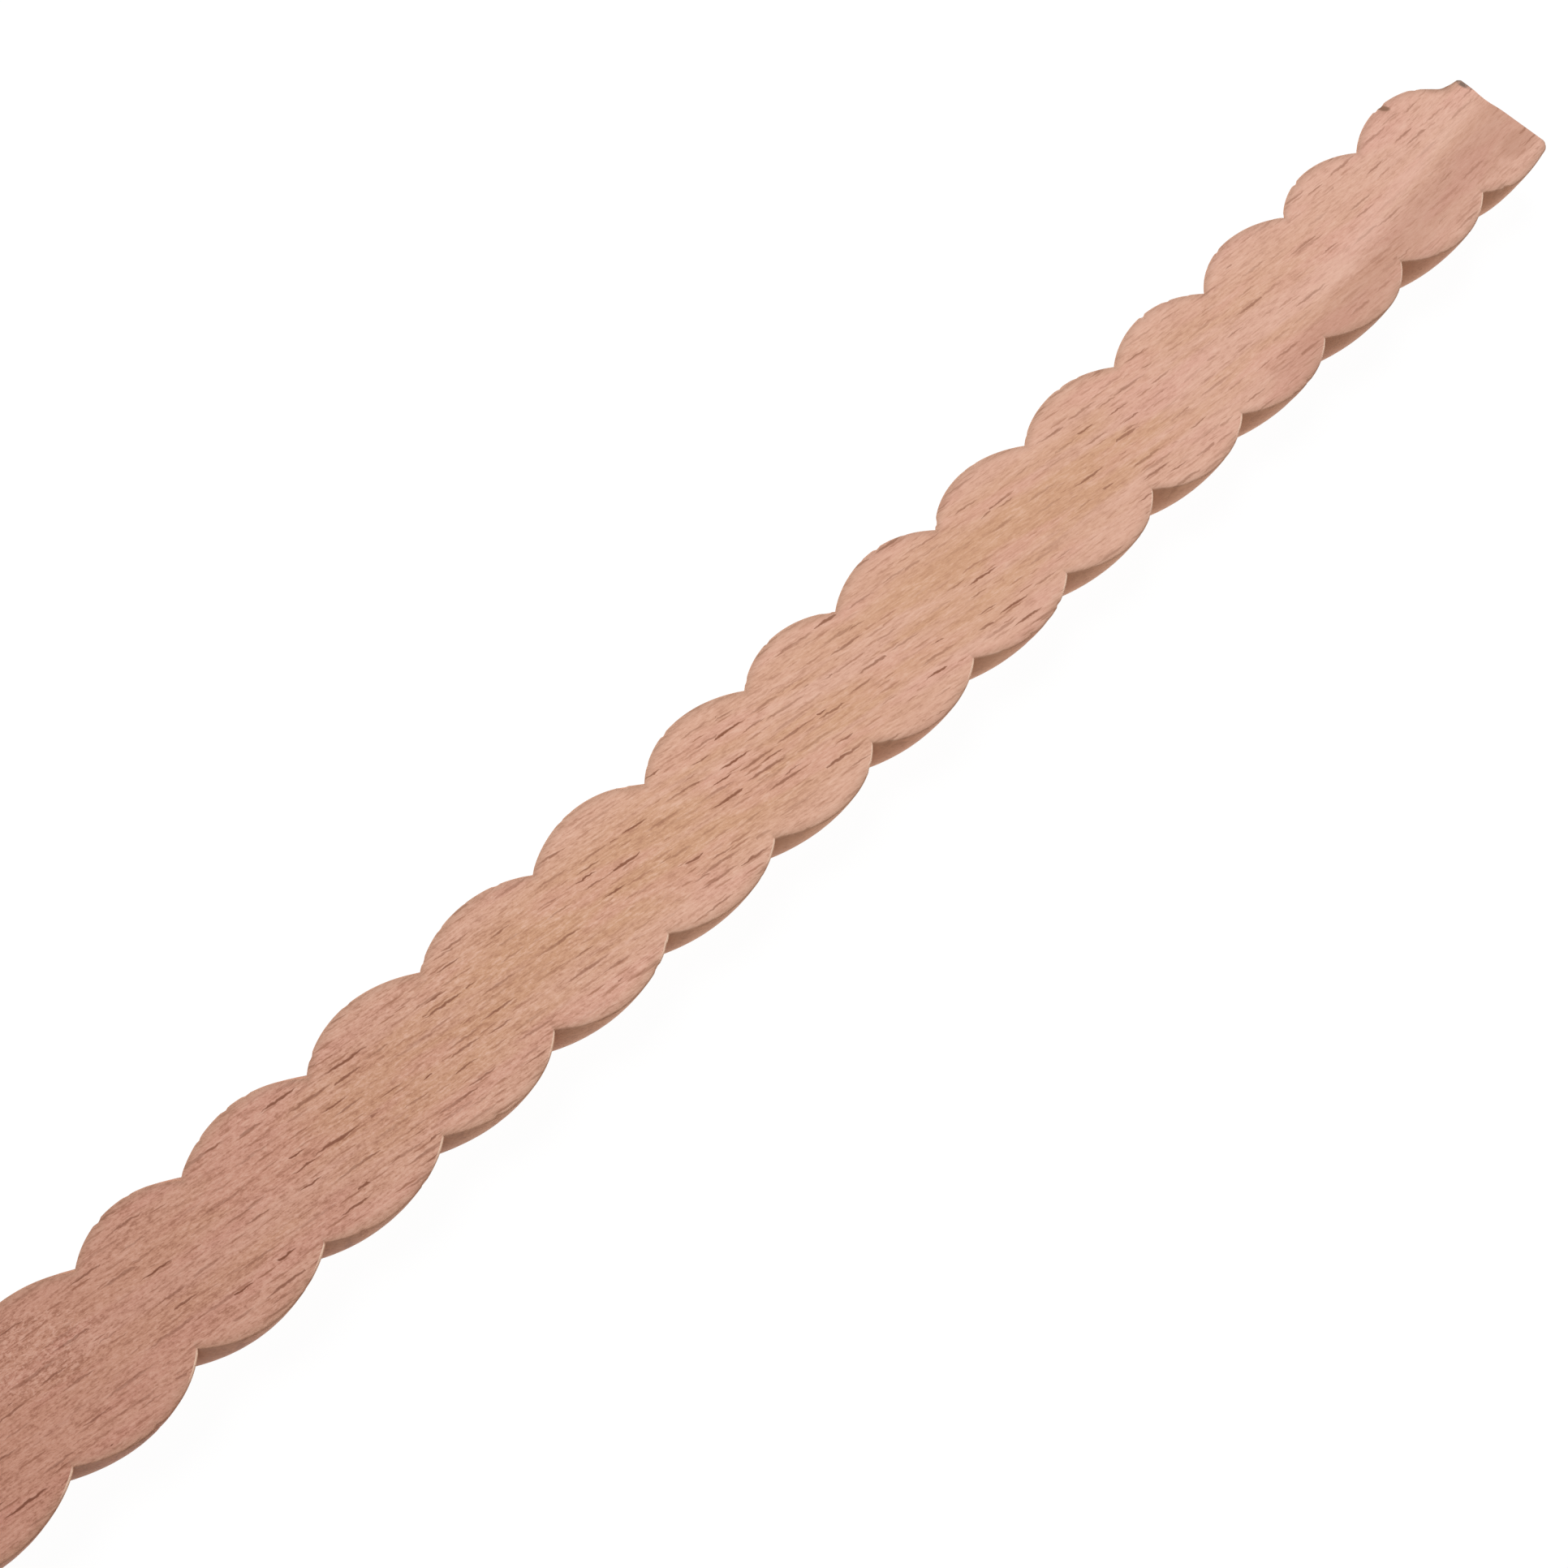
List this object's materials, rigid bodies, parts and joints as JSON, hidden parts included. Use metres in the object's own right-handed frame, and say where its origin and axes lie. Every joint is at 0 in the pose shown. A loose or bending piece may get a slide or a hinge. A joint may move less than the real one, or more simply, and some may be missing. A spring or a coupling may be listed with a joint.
{
  "type": "rope twist moulding",
  "caption": "Half-round wooden rope twist moulding with scalloped edges, a flat sawn back and square-cut ends, glued or pinned on as applied trim.",
  "frame": {"origin": "middle of the moulding's length and width, on the surface that its carved crests rest on", "axes": "+X along the moulding, towards the end with the broken tip; +Y across it; +Z out of the flat sawn back, which faces up because the piece lies carved face down"},
  "size_m": [0.18, 0.0154, 0.007],
  "materials": {
    "beech": "raw, unfinished: sawn and lightly sanded back, turned and carved strands"
  },
  "bodies": {
    "root": {"twist_moulding": "beech"}
  },
  "joints": []
}
